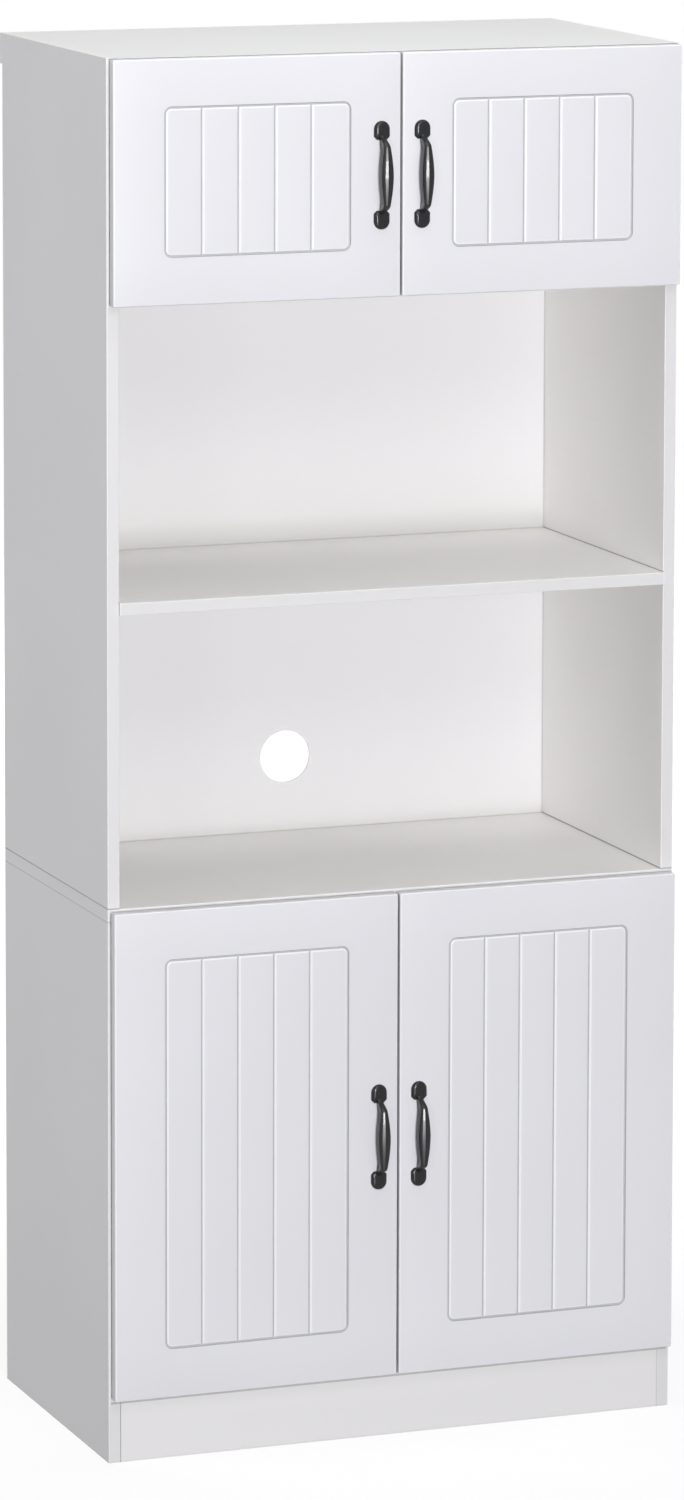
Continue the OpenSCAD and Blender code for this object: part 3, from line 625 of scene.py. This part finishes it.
HANDLE_L = 138.0
REACH = 27.0
FOOT_W, FOOT_L = 21.0, 24.0
FOOT_CUT, FOOT_CUT_STEPS = 4.0, 5
FOOT_WALL, FOOT_TOP = 1.2, 5.0
FOOT_DOME, FOOT_POWER = (12, 25, 38, 50, 62, 73, 82), 0.55
BOW_W, NECK_W, BOW_T = 16.0, 7.0, 5.5
BOW_TAPER = 1.2                     # power of the bow's width towards the necks
BOW_END = HANDLE_L / 2 - FOOT_L
BOW_STEPS = 60
ARC_DROP = 5.0                      # from the bow's middle to the necks
NECK_L = 16.0
NECK_IN = 0.62                      # share of the neck's length that runs into the foot
NECK_LOW, NECK_TOP = 0.5, FOOT_TOP - 1.0
BOW_DOME = 4.6
# Front of the bow's section: (share of the half width, share of the dome's depth)
BOW_FRONT = ((0.0, 0.004), (0.05, 0.014), (0.10, 0.037), (0.20, 0.083), (0.48, 0.211),
             (0.56, 0.252), (0.66, 0.318), (0.76, 0.402), (0.86, 0.52), (0.94, 0.68),
             (0.985, 0.85), (1.0, 1.0))


def half_cosine(s, start, end):
    """Rises from 0 at start to 1 at end."""
    return (1 - math.cos(math.pi * min(max((s - start) / (end - start), 0.0), 1.0))) / 2


def bow_section(s):
    """Half width, inner height and outer height of the bow at the distance s from its middle."""
    a = abs(s)
    near = min(1.0, a / BOW_END)
    half_w = (NECK_W + (BOW_W - NECK_W) * math.cos(math.pi / 2 * near) ** BOW_TAPER) / 2
    drop = ARC_DROP * (a / BOW_END) ** 2
    k_out = half_cosine(a, BOW_END - NECK_L / 2, BOW_END + NECK_L / 2)
    k_in = half_cosine(a, BOW_END - NECK_L, BOW_END + NECK_L / 4)
    outer = (1 - k_out) * (REACH - drop) + k_out * NECK_TOP
    inner = (1 - k_in) * (REACH - BOW_T - drop) + k_in * NECK_LOW
    return half_w, inner, outer


def bow_outline(s):
    """Section across the bow: a front of two shallow facets that roll off at the rims, upright
    flanks and a flat back with eased corners."""
    half_w, inner, outer = bow_section(s)
    dome = min(BOW_DOME * half_w / (BOW_W / 2), 0.8 * (outer - inner))
    r = min(1.0, 0.2 * (outer - inner))
    front = [(-x, drop) for x, drop in BOW_FRONT[:0:-1]] + list(BOW_FRONT)
    outline = [(half_w * x, outer - dome * drop) for x, drop in front[::-1]]
    outline += [(-half_w, inner + r), (-half_w + 0.3 * r, inner + 0.3 * r), (-half_w + r, inner),
                (half_w - r, inner), (half_w - 0.3 * r, inner + 0.3 * r), (half_w, inner + r)]
    return outline


def foot_outline():
    """A tombstone: half round at the outer end, square with cut corners at the inner end."""
    r, cut, base, steps = FOOT_W / 2, FOOT_CUT, FOOT_L - FOOT_W / 2, FOOT_CUT_STEPS
    outline = arc(0, 180, 30, (0, 0), r)
    corners = ((-r, 0), (-r, -base + cut), (-r + cut, -base), (r - cut, -base),
               (r, -base + cut), (r, 0))
    for (x0, z0), (x1, z1) in zip(corners, corners[1:]):
        outline += [(x0 + (x1 - x0) * k / steps, z0 + (z1 - z0) * k / steps)
                    for k in range(1, steps + 1)]
    return outline[:-1]


def build_handle(name):
    """Two domed feet and a convex bow, cast in one piece."""
    low, high = (Vector(c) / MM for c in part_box(name + "_handle"))
    cx, cz, face_y = (low.x + high.x) / 2, (low.z + high.z) / 2, high.y
    points, faces = [], []

    # The feet, as rings of shrinking outlines: (share of the outline, height)
    levels = [(1.0, 0.0), (1.0, FOOT_WALL)]
    levels += [(math.cos(math.radians(a)) ** FOOT_POWER,
                FOOT_WALL + (FOOT_TOP - FOOT_WALL) * math.sin(math.radians(a)))
               for a in FOOT_DOME]
    outline = foot_outline()
    for end in (1, -1):
        centre_z = cz + end * (HANDLE_L - FOOT_W) / 2
        rings = [add_ring(points, [(cx + x * share, face_y - up, centre_z + end * z * share)
                                   for x, z in outline])
                 for share, up in levels]
        for a, b in zip(rings, rings[1:]):
            faces += band(a, b, end > 0)
        faces.append(rings[0][::end])
        faces.append(rings[-1][::-end])

    # The bow, as sections from neck to neck
    reach_s = BOW_END + NECK_L * NECK_IN
    places = [reach_s * i / BOW_STEPS for i in range(-BOW_STEPS, BOW_STEPS + 1)]
    rings = [add_ring(points, [(cx + x, face_y - up, cz + s) for x, up in bow_outline(s)])
             for s in places]
    for a, b in zip(rings, rings[1:]):
        faces += band(a, b)
    faces.append(rings[0][::-1])
    faces.append(rings[-1])
    return make_piece(name + "_handle_casting", points, faces, mats["handle"], 50.0)


for name in DOORS:
    leaf = name + "_leaf"
    door = build_door(name)
    weld(door)
    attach(door, leaf)
    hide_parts(name + "_door")
    handle = build_handle(name)
    weld(handle)
    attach(handle, leaf)
    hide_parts(name + "_handle")


# ---- stage, light and camera ----

FLOOR_HALF = 30.0
# Albedo of the floor, and its own white: a little below 1 near the cabinet, 1 further out
FLOOR_DARK, FLOOR_PALE = rgb(0.17, 0.17, 0.17), rgb(0.19, 0.19, 0.19)
FLOOR_GLOW = (0.6, 1.6, 0.86, 1.0)


def build_floor():
    """A dim matte floor that keeps the shadow, seen white by the camera, in gloss and in glass."""
    mesh = bpy.data.meshes.new("floor")
    r = FLOOR_HALF
    mesh.from_pydata([(-r, -r, 0), (r, -r, 0), (r, r, 0), (-r, r, 0)], [], [(0, 1, 2, 3)])
    floor = bpy.data.objects.new("floor", mesh)
    bpy.context.scene.collection.objects.link(floor)
    material, t = new_material("floor")
    p = place(t)
    tone = t.mix(t.noise(p, 6.0, 3.0), FLOOR_DARK, FLOOR_PALE)
    matte = t.node("BsdfDiffuse", {"Color": tone}).outputs[0]
    away = t.node("VectorMath", {0: p}, operation="LENGTH").outputs["Value"]
    level = t.math("MULTIPLY", t.backdrop_rays(), t.spread(away, *FLOOR_GLOW))
    glow = t.node("Emission", {"Color": rgb(1, 1, 1), "Strength": level}).outputs[0]
    t.put(t.surface, t.node("AddShader", {0: matte, 1: glow}).outputs[0])
    dress(floor, material)


LOOK_AT = Vector((0.0, -0.1, 1.0))
LAMPS = (
    # name, azimuth from the front (+ to the right), elevation, distance, size, power
    ("key", -8.5, 2.2, 12.0, (1.2, 2.57), 1090.0),
    ("strip", -8.5, 15.0, 7.0, (0.30, 4.5), 14.0),
    ("front_high", -5.0, 36.0, 4.5, (1.8, 1.8), 38.0),
    ("left_mid", -36.0, 6.0, 8.0, (1.4, 1.8), 38.0),
    ("left_fill", -97.0, 9.0, 6.0, (2.4, 2.4), 87.0),
    ("left_high", -80.0, 42.0, 3.5, (1.5, 1.5), 3.0),
    ("right_fill", 97.0, 9.0, 6.0, (2.4, 2.4), 80.0),
    ("back_fill", 180.0, 4.0, 7.0, (3.0, 1.2), 190.0),
    ("overhead", 0.0, 80.0, 2.8, (2.2, 2.2), 30.0),
    ("overtop", 180.0, 78.0, 2.8, (1.6, 1.6), 4.0),
)
MATTE_LAMPS = ("right_fill", "back_fill")     # they light the far sides and make no highlights


def build_lights():
    """Soft lamps on the object, and a world that only the backdrop's rays see, as plain white."""
    for name, azimuth, elevation, distance, size, power in LAMPS:
        data = bpy.data.lights.new(name, "AREA")
        data.shape = "RECTANGLE"
        data.size, data.size_y = size
        data.energy = power
        lamp = bpy.data.objects.new(name, data)
        a, e = math.radians(azimuth), math.radians(elevation)
        back = Vector((math.sin(a) * math.cos(e), -math.cos(a) * math.cos(e), math.sin(e)))
        lamp.location = LOOK_AT + back * distance
        lamp.rotation_euler = back.to_track_quat("Z", "Y").to_euler()
        lamp.visible_camera = False
        lamp.visible_glossy = name not in MATTE_LAMPS
        bpy.context.scene.collection.objects.link(lamp)
    world = bpy.data.worlds.new("studio")
    bpy.context.scene.world = world
    t = Tree(world, "OutputWorld")
    white = t.node("Background", {"Color": rgb(1, 1, 1), "Strength": t.backdrop_rays()})
    t.put(t.surface, white.outputs[0])


CAMERA_AT = (-3.11178, -8.32605, 2.50802)
YAW, PITCH, ROLL = 0.369071, -0.123840, 0.003681
FOCAL_PX, FRAME_H_PX = 6893.63, 1500.0
SHIFT = (-0.052237, -0.27)


def build_camera():
    """The photograph's viewpoint. Its upright lines are parallel, which would take a lens shift of
    0.8 of the frame, so the camera is tilted down a little instead."""
    yaw, pitch, roll = YAW, PITCH, ROLL
    ahead = Vector((math.sin(yaw) * math.cos(pitch), math.cos(yaw) * math.cos(pitch),
                    math.sin(pitch)))
    level = Vector((math.cos(yaw), -math.sin(yaw), 0))
    upright = level.cross(ahead)
    right = level * math.cos(roll) + upright * math.sin(roll)
    up = upright * math.cos(roll) - level * math.sin(roll)
    data = bpy.data.cameras.new("camera")
    data.sensor_width = 36.0
    data.lens = FOCAL_PX * data.sensor_width / FRAME_H_PX
    data.shift_x, data.shift_y = SHIFT
    data.clip_start, data.clip_end = 0.1, 200.0
    camera = bpy.data.objects.new("camera", data)
    turn = Matrix((right, up, -ahead)).transposed()
    camera.matrix_world = Matrix.Translation(CAMERA_AT) @ turn.to_4x4()
    bpy.context.scene.collection.objects.link(camera)
    bpy.context.scene.camera = camera


build_floor()
build_lights()
build_camera()
bpy.context.scene.view_settings.view_transform = "Standard"
